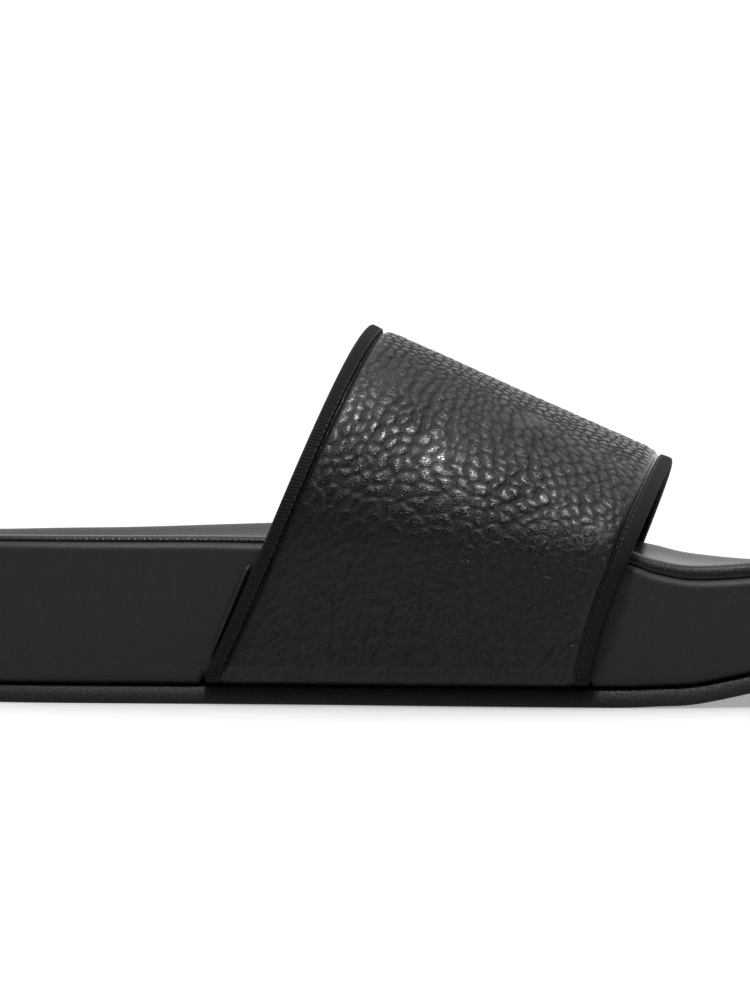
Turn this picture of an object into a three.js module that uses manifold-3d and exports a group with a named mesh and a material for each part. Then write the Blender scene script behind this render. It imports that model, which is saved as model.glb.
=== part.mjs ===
// A slide sandal for the right foot: one wide padded strap of grained leather, edged with woven tape,
// over a thick leather-wrapped midsole with a contoured footbed on top and a rubber outsole below.
// Millimetres, +X towards the toe, +Y towards the inner (medial) side of the foot, +Z up.
import * as THREE from "three";
import { mergeVertices } from "three/addons/utils/BufferGeometryUtils.js";
import Module from "manifold-3d";

const wasm = await Module();
wasm.setup();

// Driving sizes of the sole
const SOLE_LENGTH = 290;
const BALL_WIDTH = 104;
const HEEL_HEIGHT = 42.7; // ground to the midsole's top edge
const OUTSOLE_THICKNESS = 5;
const TOE_SPRING = 18; // lift of the underside at the toe's tip
const WALL_BOTTOM_RADIUS = 3;
const WALL_TOP_RADIUS = 2.6;
const WALL_TAPER = 0.4; // how far the wall leans in on its way up
const OUTSOLE_SETBACK = 0.8; // the rubber's edge lies inside the wall
const OUTSOLE_CHAMFER = 1.2;

// Driving sizes of the footbed
const FOOTBED_THICKNESS = 5;
const FOOTBED_REVEAL = 3.8; // how far its rolled edge stands above the midsole's edge, at the ball
const FOOTBED_INSET = 2.8; // its side lies inside the midsole's wall
const FOOTBED_ROLL = 2.4; // how far in the rolled edge reaches its crest
const BOWL_DEPTH = 4.6; // fall from the rolled edge to the floor under the foot
const BOWL_REACH = 24; // how far in from the wall the floor starts

// Driving sizes of the strap and its tape
const STRAP_THICKNESS = 3.4;
const STRAP_SKIVED = 1.6; // thinned edge inside the tape, and the part turned under the midsole
const SKIVE_RAMP = 1.2; // width over which it thickens again
const STRAP_CROWN = 0.5; // extra padding between the tapes
const PADDING_REACH = 5; // from the tape to where the padding is full
const STRAP_MARGIN = 12; // length turned under the midsole on each side
const STRAP_BULGE = 2.4; // how far the arch swells past the wall
const ARCH_HANDLE = 0.56; // fullness of the arch: 0.55 gives an ellipse
const RIDGE_OFFSET = 6; // the ridge lies towards the inner side
const RIDGE_BOW = -0.1; // rise of the ridge above a straight line
const STRAP_SKEW = 0.04; // the inner side lies further forward, per mm of width
const TAPE_THICKNESS = 0.7;
const TAPE_WIDTH = 3;

const GAP = 0.3; // between pieces that meet

// Cross-sections from heel to toe. at: share of the sole's length. outer, inner: distance of each wall
// from the axis, as shares of the ball's width. outerTop, innerTop: height of the midsole's top edge,
// as shares of the heel height. reveal, bowl: shares of the footbed's reveal and of the bowl's depth.
// lift: share of the toe spring.
const SECTIONS = [
  { at: 0, outer: 0, inner: 0, outerTop: 1.008, innerTop: 1.008, reveal: 0.42, bowl: 1, lift: 0.11 },
  { at: 0.01, outer: 0.135, inner: 0.135, outerTop: 1.006, innerTop: 1, reveal: 0.42, bowl: 1, lift: 0.085 },
  { at: 0.038, outer: 0.255, inner: 0.253, outerTop: 1, innerTop: 0.988, reveal: 0.42, bowl: 1, lift: 0.03 },
  { at: 0.082, outer: 0.333, inner: 0.327, outerTop: 1, innerTop: 0.98, reveal: 0.43, bowl: 1, lift: 0 },
  { at: 0.138, outer: 0.367, inner: 0.358, outerTop: 1, innerTop: 0.984, reveal: 0.43, bowl: 1, lift: 0 },
  { at: 0.21, outer: 0.385, inner: 0.367, outerTop: 1, innerTop: 0.99, reveal: 0.43, bowl: 0.98, lift: 0 },
  { at: 0.3, outer: 0.4, inner: 0.371, outerTop: 1, innerTop: 1.008, reveal: 0.44, bowl: 0.92, lift: 0 },
  { at: 0.397, outer: 0.425, inner: 0.385, outerTop: 0.99, innerTop: 1.02, reveal: 0.5, bowl: 0.84, lift: 0 },
  { at: 0.49, outer: 0.458, inner: 0.419, outerTop: 0.98, innerTop: 1.01, reveal: 0.6, bowl: 0.74, lift: 0 },
  { at: 0.579, outer: 0.487, inner: 0.46, outerTop: 0.94, innerTop: 0.96, reveal: 0.74, bowl: 0.66, lift: 0 },
  { at: 0.662, outer: 0.504, inner: 0.49, outerTop: 0.9, innerTop: 0.87, reveal: 0.9, bowl: 0.58, lift: 0 },
  { at: 0.7, outer: 0.503, inner: 0.5, outerTop: 0.82, innerTop: 0.82, reveal: 0.96, bowl: 0.54, lift: 0.02 },
  { at: 0.741, outer: 0.49, inner: 0.5, outerTop: 0.78, innerTop: 0.757, reveal: 1, bowl: 0.5, lift: 0.06 },
  { at: 0.814, outer: 0.449, inner: 0.491, outerTop: 0.81, innerTop: 0.72, reveal: 1, bowl: 0.44, lift: 0.3 },
  { at: 0.879, outer: 0.381, inner: 0.46, outerTop: 0.86, innerTop: 0.77, reveal: 1, bowl: 0.38, lift: 0.55 },
  { at: 0.93, outer: 0.29, inner: 0.4, outerTop: 0.91, innerTop: 0.85, reveal: 0.95, bowl: 0.33, lift: 0.76 },
  { at: 0.969, outer: 0.176, inner: 0.32, outerTop: 0.95, innerTop: 0.92, reveal: 0.9, bowl: 0.3, lift: 0.9 },
  { at: 0.992, outer: 0.046, inner: 0.21, outerTop: 0.98, innerTop: 0.97, reveal: 0.9, bowl: 0.3, lift: 0.97 },
  { at: 1, outer: -0.087, inner: 0.087, outerTop: 0.98, innerTop: 0.98, reveal: 0.9, bowl: 0.3, lift: 1 },
];
const STEPS_PER_SECTION = 3;

// The strap's two edges, from the side. at: the ridge's place, as a share of the sole's length. ridge:
// ground to the middle of the strap's wall there. lean: slope of the edge, back per mm of fall. scoop:
// how far the ridge is cut forward. kick: how far the foot of the edge swings back.
const REAR_EDGE = { at: 0.4355, ridge: 98.2, lean: 0.405, scoop: 0.6, kick: 2.4 };
const FRONT_EDGE = { at: 0.7125, ridge: 62.2, lean: 0.42, scoop: 0, kick: -5.7 };
const SCOOP_FALL = 4; // how quickly the scoop fades below the ridge

const OUTER = -1; // the lateral side lies at negative Y
const INNER = 1;
const lerp = THREE.MathUtils.lerp;

// A closed curve round the sole, from the heel along the outer side to the toe and back along the inner
// side. Its third coordinate is worked out from each row.
function loopCurve(height) {
  const point = (row, side) =>
    new THREE.Vector3(
      (row.at - 0.5) * SOLE_LENGTH,
      side * (side === INNER ? row.inner : row.outer) * BALL_WIDTH,
      height(row, side),
    );
  const there = SECTIONS.map((row) => point(row, OUTER));
  const back = SECTIONS.slice(1, -1).map((row) => point(row, INNER));
  return new THREE.CatmullRomCurve3([...there, ...back.reverse()], true, "catmullrom", 0.5);
}

const edgeLoop = loopCurve((row, side) => HEEL_HEIGHT * (side === INNER ? row.innerTop : row.outerTop));
const liftLoop = loopCurve((row) => TOE_SPRING * row.lift);
const revealLoop = loopCurve((row) => FOOTBED_REVEAL * row.reveal);
const bowlLoop = loopCurve((row) => BOWL_DEPTH * row.bowl);

// Points and directions round the loop, worked out once
const LOOP_POINTS = 2 * (SECTIONS.length - 1) * STEPS_PER_SECTION;
const LOOP = Array.from({ length: LOOP_POINTS }, (_, k) => {
  const along = edgeLoop.getTangent(k / LOOP_POINTS);
  return {
    wall: edgeLoop.getPoint(k / LOOP_POINTS),
    inwards: new THREE.Vector2(-along.y, along.x).normalize(),
    lift: Math.max(0, liftLoop.getPoint(k / LOOP_POINTS).z),
    reveal: revealLoop.getPoint(k / LOOP_POINTS).z,
    bowl: bowlLoop.getPoint(k / LOOP_POINTS).z,
  };
});

// Heights at point k of the loop: the underside, the outsole's seam, the midsole's edge, the footbed's
// rolled edge and, at a share of the bowl's depth, its floor
const underside = (k) => LOOP[k].lift;
const seam = (k) => underside(k) + OUTSOLE_THICKNESS + GAP;
const edge = (k) => LOOP[k].wall.z;
const roll = (k) => edge(k) + LOOP[k].reveal;
const floor = (k, share) => roll(k) - LOOP[k].bowl * share;

// The loop moved in from the wall by inset, at the heights that level gives
function ring(inset, level) {
  return LOOP.map(({ wall, inwards }, k) =>
    new THREE.Vector3(wall.x + inwards.x * inset, wall.y + inwards.y * inset, level(k)),
  );
}

// A closed body through rings of points. The caps list triangles in the rings' own order.
function loft(rings, startCap, endCap) {
  const n = rings[0].length;
  const index = rings.slice(1).flatMap((_, r) =>
    rings[0].flatMap((_, k) => {
      const next = (k + 1) % n;
      const [a, b, c, d] = [r * n + k, r * n + next, (r + 1) * n + next, (r + 1) * n + k];
      return [a, b, c, a, c, d];
    }),
  );
  const last = (rings.length - 1) * n;
  startCap.forEach(([a, b, c]) => index.push(c, b, a));
  endCap.forEach(([a, b, c]) => index.push(last + a, last + b, last + c));
  const positions = rings.flat().flatMap((p) => [p.x, p.y, p.z]);
  const geometry = new THREE.BufferGeometry();
  geometry.setAttribute("position", new THREE.Float32BufferAttribute(positions, 3));
  geometry.setIndex(index);
  geometry.computeVertexNormals();
  return geometry;
}

// A body of rings one above the other, closed by strips that run across the sole
function stack(rings) {
  const n = LOOP_POINTS;
  const strips = Array.from({ length: n / 2 }, (_, k) => {
    const [a, b, c, d] = [k, k + 1, n - k - 1, (n - k) % n];
    return [[a, b, c], [a, c, d]].filter((face) => new Set(face).size === 3);
  });
  return loft(rings, strips.flat(), strips.flat());
}

// Between a three.js geometry and a solid that can be cut
function solidOf(geometry) {
  const bare = geometry.clone();
  bare.deleteAttribute("normal");
  bare.deleteAttribute("uv");
  const merged = mergeVertices(bare, 1e-4);
  const vertProperties = new Float32Array(merged.attributes.position.array);
  const triVerts = new Uint32Array(merged.index.array);
  return new wasm.Manifold(new wasm.Mesh({ numProp: 3, vertProperties, triVerts }));
}

function geometryOf(solid) {
  const mesh = solid.getMesh();
  const geometry = new THREE.BufferGeometry();
  geometry.setAttribute("position", new THREE.BufferAttribute(mesh.vertProperties, 3));
  geometry.setIndex(new THREE.BufferAttribute(mesh.triVerts, 1));
  geometry.computeVertexNormals();
  return geometry;
}

// The sole at a place along the foot: distance of one wall from the axis, its top edge and its seam
function wallAt(side, x) {
  let [low, high] = [side === OUTER ? 0 : 1, 0.5];
  for (let i = 0; i < 24; i++) {
    const middle = (low + high) / 2;
    if (edgeLoop.getPoint(middle).x < x) low = middle;
    else high = middle;
  }
  const p = edgeLoop.getPoint(low);
  const lift = Math.max(0, liftLoop.getPoint(low).z);
  return { half: Math.abs(p.y), edge: p.z, seam: lift + OUTSOLE_THICKNESS + GAP };
}

// The midsole: a leather-wrapped block whose top is hollowed to seat the footbed
function midsoleRings() {
  const r = WALL_BOTTOM_RADIUS;
  const t = WALL_TOP_RADIUS;
  const diagonal = 1 - Math.SQRT1_2;
  const seat = FOOTBED_THICKNESS + 1.5 * GAP;
  return [
    ring(r, seam),
    ring(r * diagonal, (k) => seam(k) + r * diagonal),
    ring(0, (k) => seam(k) + r),
    ring(WALL_TAPER, (k) => edge(k) - t),
    ring(WALL_TAPER + t * diagonal, (k) => edge(k) - t * diagonal),
    ring(WALL_TAPER + t, edge),
    ring(FOOTBED_INSET + FOOTBED_ROLL, (k) => edge(k) - GAP),
    ring(BOWL_REACH / 2, (k) => floor(k, 0.72) - seat),
    ring(BOWL_REACH, (k) => floor(k, 1) - seat),
  ];
}

// The footbed: a padded, leather-covered insole with a rolled edge and a shallow bowl
function footbedRings() {
  const side = (share) => FOOTBED_INSET + FOOTBED_ROLL * share;
  const between = (k, share) => lerp(edge(k) + GAP, roll(k), share);
  return [
    ring(BOWL_REACH, (k) => floor(k, 1) - FOOTBED_THICKNESS),
    ring(BOWL_REACH / 2, (k) => floor(k, 0.72) - FOOTBED_THICKNESS),
    ring(side(1), (k) => between(k, 0)),
    ring(side(0.2), (k) => between(k, 0.06)),
    ring(side(0), (k) => between(k, 0.45)),
    ring(side(0.3), (k) => between(k, 0.86)),
    ring(side(1), roll),
    ring(BOWL_REACH * 0.34, (k) => floor(k, 0.2)),
    ring(BOWL_REACH * 0.62, (k) => floor(k, 0.74)),
    ring(BOWL_REACH, (k) => floor(k, 1)),
  ];
}

// The outsole: a rubber sheet with straight channels across the forefoot and the heel
const TREAD = {
  depth: 2,
  width: 3,
  margin: 9, // rubber left between a channel's end and the wall
  zones: [
    { from: 0.07, to: 0.3, count: 7 },
    { from: 0.5, to: 0.93, count: 13 },
  ],
};

function outsoleRings() {
  const top = (k) => underside(k) + OUTSOLE_THICKNESS;
  return [
    ring(OUTSOLE_SETBACK + OUTSOLE_CHAMFER, underside),
    ring(OUTSOLE_SETBACK, (k) => underside(k) + OUTSOLE_CHAMFER),
    ring(OUTSOLE_SETBACK, (k) => top(k) - OUTSOLE_CHAMFER / 2),
    ring(WALL_BOTTOM_RADIUS, top),
  ];
}

function channel(share) {
  const x = (share - 0.5) * SOLE_LENGTH;
  const [outer, inner] = [wallAt(OUTER, x), wallAt(INNER, x)];
  const ends = [-outer.half + TREAD.margin, inner.half - TREAD.margin];
  const ground = outer.seam - GAP - OUTSOLE_THICKNESS;
  const height = 4 * TREAD.depth;
  const cutter = new THREE.BoxGeometry(TREAD.width, ends[1] - ends[0], height);
  cutter.translate(x, (ends[0] + ends[1]) / 2, ground + TREAD.depth - height / 2);
  return solidOf(cutter);
}

function outsole() {
  const cutters = TREAD.zones.flatMap(({ from, to, count }) =>
    Array.from({ length: count }, (_, i) => channel(lerp(from, to, i / (count - 1)))),
  );
  const body = solidOf(stack(outsoleRings()));
  return cutters.reduce((rest, cutter) => rest.subtract(cutter), body);
}

// The strap's stations across the foot, from the end turned under the midsole on the outer side, over
// the ridge, to the end turned under on the inner side. share: how far along its stretch each one is.
const STRETCHES = [
  { part: "margin", steps: 2 },
  { part: "corner", steps: 5 },
  { part: "wall", steps: 3 },
  { part: "arch", steps: 12 },
];
const HALF_STATIONS = STRETCHES.flatMap(({ part, steps }) =>
  Array.from({ length: steps }, (_, i) => ({ part, share: i / steps })),
);
const STATIONS = [
  ...HALF_STATIONS.map((station) => ({ ...station, side: OUTER })),
  { part: "arch", share: 1, side: OUTER },
  ...HALF_STATIONS.map((station) => ({ ...station, side: INNER })).reverse(),
];

const TAPE_HALF = STRAP_SKIVED / 2 + GAP + TAPE_THICKNESS; // half of the bound edge's thickness
const STAND_OFF = TAPE_HALF + GAP; // from the midsole's wall to the middle of the strap

// The middle of the strap's wall. across runs from 0 at the rear edge to 1 at the front edge.
function strapMiddle({ part, share, side }, across) {
  const blend = (name) => lerp(REAR_EDGE[name], FRONT_EDGE[name], across);
  const ridge = {
    x: (blend("at") - 0.5) * SOLE_LENGTH,
    z: blend("ridge") + RIDGE_BOW * 4 * across * (1 - across),
  };
  const xAt = (y, z) => {
    const fall = ridge.z - z;
    const scooped = blend("scoop") * (1 - Math.exp(-fall / SCOOP_FALL));
    const kicked = blend("kick") * (fall / ridge.z) ** 4;
    return ridge.x - fall * blend("lean") - scooped - kicked + STRAP_SKEW * (y - RIDGE_OFFSET);
  };
  const at = (y, z) => new THREE.Vector3(xAt(y, z), y, z);
  const wall = (z) => wallAt(side, xAt((side * BALL_WIDTH) / 2, z));
  const foot = wall(OUTSOLE_THICKNESS);
  const under = foot.seam + STRAP_SKIVED / 2;
  const r = WALL_BOTTOM_RADIUS;
  const centre = { y: foot.half - r, z: foot.seam + STRAP_SKIVED + GAP + r };
  if (part === "margin") return at(side * (centre.y - STRAP_MARGIN * (1 - share)), under);
  if (part === "corner") {
    const turn = (share * Math.PI) / 2;
    const y = centre.y + (r + STAND_OFF) * Math.sin(turn);
    return at(side * y, centre.z - (centre.z - under) * Math.cos(turn));
  }
  const wallTop = wall(HEEL_HEIGHT).edge - WALL_TOP_RADIUS;
  if (part === "wall") {
    const z = lerp(centre.z, wallTop, share);
    return at(side * (wall(z).half + STAND_OFF), z);
  }
  const start = side * (wall(wallTop).half + STAND_OFF);
  const arch = new THREE.CubicBezierCurve(
    new THREE.Vector2(start, wallTop),
    new THREE.Vector2(start + side * STRAP_BULGE, lerp(wallTop, ridge.z, ARCH_HANDLE)),
    new THREE.Vector2(lerp(RIDGE_OFFSET, start, ARCH_HANDLE), ridge.z),
    new THREE.Vector2(RIDGE_OFFSET, ridge.z),
  );
  const p = arch.getPoint(share);
  return at(p.x, p.y);
}

const WIDTHS = STATIONS.map((s) => strapMiddle(s, 0).distanceTo(strapMiddle(s, 1)));

// A point on the strap at station i: from is the distance from its rear edge, out is the distance
// outwards from the middle of its wall. Past either edge the surface runs on straight.
function strapPoint(i, from, out) {
  const station = STATIONS[i];
  const across = THREE.MathUtils.clamp(from / WIDTHS[i], 0, 1);
  const p = strapMiddle(station, across);
  const behind = strapMiddle(station, Math.max(0, across - 0.01));
  const ahead = strapMiddle(station, Math.min(1, across + 0.01));
  const forwards = ahead.sub(behind).normalize();
  const before = strapMiddle(STATIONS[Math.max(0, i - 1)], across);
  const after = strapMiddle(STATIONS[Math.min(STATIONS.length - 1, i + 1)], across);
  const inwards = new THREE.Vector3().crossVectors(after.sub(before), forwards).normalize();
  return p.addScaledVector(forwards, from - across * WIDTHS[i]).addScaledVector(inwards, -out);
}

// The distances from the middle of the strap to its outer and inner faces
function strapFaces(i, from) {
  const inside = Math.min(from, WIDTHS[i] - from) - TAPE_WIDTH - GAP;
  const full = { margin: 0, corner: STATIONS[i].share, wall: 1, arch: 1 }[STATIONS[i].part];
  const swell = full * THREE.MathUtils.smoothstep(inside, 0, SKIVE_RAMP);
  const half = lerp(STRAP_SKIVED, STRAP_THICKNESS, swell) / 2;
  return [half + swell * STRAP_CROWN * THREE.MathUtils.smoothstep(inside, 0, PADDING_REACH), -half];
}

// Two ways to close the end of a swept body: across any outline, or between the faces of a sheet, whose
// outline runs out along one face and back along the other.
function acrossOutline(pairs) {
  const outline = pairs.map(([from, out]) => new THREE.Vector2(from, out));
  const way = Math.sign(THREE.ShapeUtils.area(outline));
  return THREE.ShapeUtils.triangulateShape(outline, []).map((face) => {
    const same = Math.sign(THREE.ShapeUtils.area(face.map((v) => outline[v]))) === way;
    return same ? face : [...face].reverse();
  });
}

function acrossSheet(pairs) {
  const n = pairs.length;
  const rungs = Array.from({ length: n / 2 - 1 }, (_, k) => [k, k + 1, n - 2 - k, n - 1 - k]);
  return rungs.flatMap(([a, b, c, d]) => [[a, b, c], [a, c, d]]);
}

// A closed body along some of the stations. profile gives each station's outline as pairs: distance from
// the rear edge, distance outwards.
function sweep(stations, profile, cap) {
  const sections = stations.map((i) => profile(i).map(([from, out]) => strapPoint(i, from, out)));
  return loft(sections, cap(profile(stations[0])), cap(profile(stations.at(-1))));
}

// The strap, with rows closer together where its edges are thinned
function strap() {
  const border = TAPE_WIDTH + GAP;
  const padded = border + Math.max(SKIVE_RAMP, PADDING_REACH);
  const edgeRows = [0, border, border + SKIVE_RAMP / 2, border + SKIVE_RAMP, padded];
  const profile = (i) => {
    const middle = [0.26, 0.38, 0.5, 0.62, 0.74].map((share) => share * WIDTHS[i]);
    const rows = [...edgeRows, ...middle, ...edgeRows.map((from) => WIDTHS[i] - from).reverse()];
    const outside = rows.map((from) => [from, strapFaces(i, from)[0]]);
    const inside = rows.map((from) => [from, strapFaces(i, from)[1]]);
    return [...outside, ...inside.reverse()];
  };
  return sweep([...STATIONS.keys()], profile, acrossSheet);
}

// The tape: a woven strip folded round one edge of the strap, down to the turn under the midsole
function tape(front) {
  const lip = GAP + TAPE_THICKNESS;
  const outside = [
    [TAPE_WIDTH, TAPE_HALF],
    [0.6 * lip, TAPE_HALF],
    [-0.6 * lip, TAPE_HALF * 0.76],
    [-lip, TAPE_HALF * 0.3],
  ];
  const inside = [
    [-GAP, TAPE_HALF - TAPE_THICKNESS],
    [TAPE_WIDTH, TAPE_HALF - TAPE_THICKNESS],
  ];
  const mirrored = (points) => points.map(([from, out]) => [from, -out]).reverse();
  const outline = [...outside, ...mirrored(outside), ...mirrored(inside), ...inside];
  const high = ({ part, share }) => part === "wall" || part === "arch" || (part === "corner" && share > 0.5);
  const stations = [...STATIONS.keys()].filter((i) => high(STATIONS[i]));
  const atRear = () => [...outline].reverse();
  const atFront = (i) => outline.map(([from, out]) => [WIDTHS[i] - from, out]);
  return sweep(stations, front ? atFront : atRear, acrossOutline);
}

// The room that one turned-under end of the strap needs in the midsole's bottom edge
function pocket(side) {
  const nose = TAPE_THICKNESS + 2 * GAP;
  const low = ({ part, share }) => part === "margin" || part === "corner" || (part === "wall" && share === 0);
  const stations = [...STATIONS.keys()].filter((i) => STATIONS[i].side === side && low(STATIONS[i]));
  const depth = ({ part, share }) => {
    if (part === "wall") return STAND_OFF - 2 * GAP;
    const bulk = part === "corner" ? Math.min(1, share * 1.8) : 0;
    return lerp(STRAP_SKIVED / 2 + GAP, STAND_OFF, bulk);
  };
  const profile = (i) => {
    const rows = Array.from({ length: 9 }, (_, j) => lerp(-nose, WIDTHS[i] + nose, j / 8));
    const outside = rows.map((from) => [from, STAND_OFF + 1]);
    const inside = rows.map((from) => [from, -depth(STATIONS[i])]);
    return [...outside, ...inside.reverse()];
  };
  const tip = solidOf(sweep(stations, profile, acrossSheet));
  return tip.add(tip.translate([0, -side * GAP, 0]));
}

function midsole() {
  const body = solidOf(stack(midsoleRings()));
  return body.subtract(pocket(OUTER)).subtract(pocket(INNER));
}

const FINISH = {
  rubber: new THREE.MeshStandardMaterial({ color: 0x1b1b1b, roughness: 0.8, metalness: 0 }),
  wrap: new THREE.MeshStandardMaterial({ color: 0x2f2d2e, roughness: 0.6, metalness: 0 }),
  insole: new THREE.MeshStandardMaterial({ color: 0x38363a, roughness: 0.62, metalness: 0 }),
  grain: new THREE.MeshStandardMaterial({ color: 0x2c2b2b, roughness: 0.5, metalness: 0 }),
  weave: new THREE.MeshStandardMaterial({ color: 0x1d1c1a, roughness: 0.9, metalness: 0 }),
};

function piece(name, geometry, material) {
  const mesh = new THREE.Mesh(geometry, material);
  mesh.name = name;
  return mesh;
}

const sandal = new THREE.Group();
sandal.add(
  piece("outsole", geometryOf(outsole()), FINISH.rubber),
  piece("midsole", geometryOf(midsole()), FINISH.wrap),
  piece("footbed", stack(footbedRings()), FINISH.insole),
  piece("strap", strap(), FINISH.grain),
  piece("binding_rear", tape(false), FINISH.weave),
  piece("binding_front", tape(true), FINISH.weave),
);

// The origin lies on the ground, under the middle of the sandal
const box = new THREE.Box3().setFromObject(sandal);
const middle = box.getCenter(new THREE.Vector3());
sandal.children.forEach((mesh) => mesh.geometry.translate(-middle.x, -middle.y, -box.min.z));

export default sandal;
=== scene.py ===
# A slide sandal for the right foot: a rubber outsole, a leather-wrapped midsole, a padded footbed, and
# one wide strap of tumbled leather whose two edges are bound with ribbed woven tape.
# Metres, +X towards the toe, +Y towards the inner side of the foot, +Z up.
import math

import bmesh
import bpy
import numpy as np
from mathutils import Matrix, Vector


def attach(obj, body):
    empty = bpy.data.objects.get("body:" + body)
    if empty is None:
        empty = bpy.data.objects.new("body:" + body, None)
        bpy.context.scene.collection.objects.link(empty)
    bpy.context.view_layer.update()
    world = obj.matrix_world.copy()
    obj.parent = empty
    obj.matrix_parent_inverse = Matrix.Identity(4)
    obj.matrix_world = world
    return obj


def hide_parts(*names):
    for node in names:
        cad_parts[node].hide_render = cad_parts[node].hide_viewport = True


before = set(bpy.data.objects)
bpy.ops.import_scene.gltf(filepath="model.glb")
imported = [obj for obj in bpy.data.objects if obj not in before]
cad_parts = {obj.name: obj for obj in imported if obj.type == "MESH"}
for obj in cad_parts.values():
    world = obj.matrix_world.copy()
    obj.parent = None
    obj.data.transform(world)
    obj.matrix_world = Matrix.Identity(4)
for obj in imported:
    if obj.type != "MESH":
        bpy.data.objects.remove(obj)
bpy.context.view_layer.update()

# Outsole: a rubber sheet moulded to the outline of the last and cemented under the midsole. Its toe
# springs up from the floor, and straight channels run across its forefoot and its heel.
MM = 0.001
SOLE_LENGTH = 290 * MM
BALL_WIDTH = 104 * MM
HEEL_HEIGHT = 42.7 * MM
TOE_SPRING = 18 * MM
FOOTBED_REVEAL = 3.8 * MM
BOWL_DEPTH = 4.6 * MM
OUTSOLE_THICKNESS = 5 * MM
OUTSOLE_SETBACK = 0.8 * MM
OUTSOLE_CHAMFER = 1.2 * MM
GAP = 0.3 * MM
OUTER, INNER = -1, 1

# Cross-sections from heel to toe, as shares of the sizes above: place along the sole, each wall's
# distance from the axis, each top edge's height, the footbed's reveal, its bowl, and the toe's lift
COLUMNS = ("at", "outer", "inner", "outer_top", "inner_top", "reveal", "bowl", "lift")
SECTIONS = (
    (0, 0, 0, 1.008, 1.008, 0.42, 1, 0.11),
    (0.01, 0.135, 0.135, 1.006, 1, 0.42, 1, 0.085),
    (0.038, 0.255, 0.253, 1, 0.988, 0.42, 1, 0.03),
    (0.082, 0.333, 0.327, 1, 0.98, 0.43, 1, 0),
    (0.138, 0.367, 0.358, 1, 0.984, 0.43, 1, 0),
    (0.21, 0.385, 0.367, 1, 0.99, 0.43, 0.98, 0),
    (0.3, 0.4, 0.371, 1, 1.008, 0.44, 0.92, 0),
    (0.397, 0.425, 0.385, 0.99, 1.02, 0.5, 0.84, 0),
    (0.49, 0.458, 0.419, 0.98, 1.01, 0.6, 0.74, 0),
    (0.579, 0.487, 0.46, 0.94, 0.96, 0.74, 0.66, 0),
    (0.662, 0.504, 0.49, 0.9, 0.87, 0.9, 0.58, 0),
    (0.7, 0.503, 0.5, 0.82, 0.82, 0.96, 0.54, 0.02),
    (0.741, 0.49, 0.5, 0.78, 0.757, 1, 0.5, 0.06),
    (0.814, 0.449, 0.491, 0.81, 0.72, 1, 0.44, 0.3),
    (0.879, 0.381, 0.46, 0.86, 0.77, 1, 0.38, 0.55),
    (0.93, 0.29, 0.4, 0.91, 0.85, 0.95, 0.33, 0.76),
    (0.969, 0.176, 0.32, 0.95, 0.92, 0.9, 0.3, 0.9),
    (0.992, 0.046, 0.21, 0.98, 0.97, 0.9, 0.3, 0.97),
    (1, -0.087, 0.087, 0.98, 0.98, 0.9, 0.3, 1),
)


def loop_posts():
    """The points that the loop round the sole runs through: x, y, edge, lift, reveal and bowl."""
    column = dict(zip(COLUMNS, np.array(SECTIONS).T))
    sides = []
    for side, wall, top in ((OUTER, "outer", "outer_top"), (INNER, "inner", "inner_top")):
        parts = (
            (column["at"] - 0.5) * SOLE_LENGTH,
            side * column[wall] * BALL_WIDTH,
            column[top] * HEEL_HEIGHT,
            column["lift"] * TOE_SPRING,
            column["reveal"] * FOOTBED_REVEAL,
            column["bowl"] * BOWL_DEPTH,
        )
        sides.append(np.stack(parts, axis=1))
    return np.concatenate([sides[0], sides[1][-2:0:-1]])


LOOP_POSTS = loop_posts()


def on_loop(turns):
    """The closed curve round the sole, heel to toe along the outer side and back along the inner."""
    count = len(LOOP_POSTS)
    post = np.floor(turns * count).astype(int)
    t = (turns * count - post)[:, None]
    before, start, end, after = (LOOP_POSTS[(post + k) % count] for k in (-1, 0, 1, 2))
    leave = (end - before) / 2
    arrive = (after - start) / 2
    bend = 3 * (end - start) - 2 * leave - arrive
    return start + leave * t + bend * t**2 + (leave + arrive - 2 * (end - start)) * t**3


class SoleSide:
    """One side of the sole at even steps from heel to toe."""

    def __init__(self, side, steps):
        self.side = side
        fine = np.linspace(0, 0.5, 4001) if side == OUTER else np.linspace(1, 0.5, 4001)
        path = on_loop(fine)[:, :2]
        length = np.concatenate([[0], np.cumsum(np.linalg.norm(np.diff(path, axis=0), axis=1))])
        self.along = np.linspace(0, length[-1], steps + 1)
        turns = np.interp(self.along, length, fine)
        values = on_loop(turns)
        self.wall = values[:, :2]
        self.edge = values[:, 2]
        self.lift = np.maximum(values[:, 3], 0)
        self.seam = self.lift + OUTSOLE_THICKNESS + GAP
        self.roll = values[:, 2] + values[:, 4]
        self.floor = self.roll - values[:, 5]
        ahead = (on_loop(turns + 1e-4) - on_loop(turns - 1e-4))[:, :2]
        ahead /= np.linalg.norm(ahead, axis=1)[:, None]
        self.inwards = np.stack([-ahead[:, 1], ahead[:, 0]], axis=1)

    def ring(self, inset, height):
        """The wall's outline moved in by inset, at the given height."""
        inset = np.broadcast_to(inset, self.along.shape)[:, None]
        height = np.broadcast_to(height, self.along.shape)[:, None]
        return np.concatenate([self.wall + self.inwards * inset, height], axis=1)


def bent_grid(points, **vectors):
    """A grid of faces, each of its corners moved to its place in an array of points. vectors give each
    corner more vectors, which a material reads as attributes of those names."""
    rows, columns, _ = points.shape
    bm = bmesh.new()
    layers = {name: bm.verts.layers.float_vector.new(name) for name in vectors}
    bmesh.ops.create_grid(bm, x_segments=columns - 1, y_segments=rows - 1, size=0.5)
    for vert, point in zip(bm.verts, points.reshape(-1, 3)):
        vert.co = point
    for name, layer in layers.items():
        for vert, vector in zip(bm.verts, vectors[name].reshape(-1, 3)):
            vert[layer] = vector
    return bm


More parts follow.
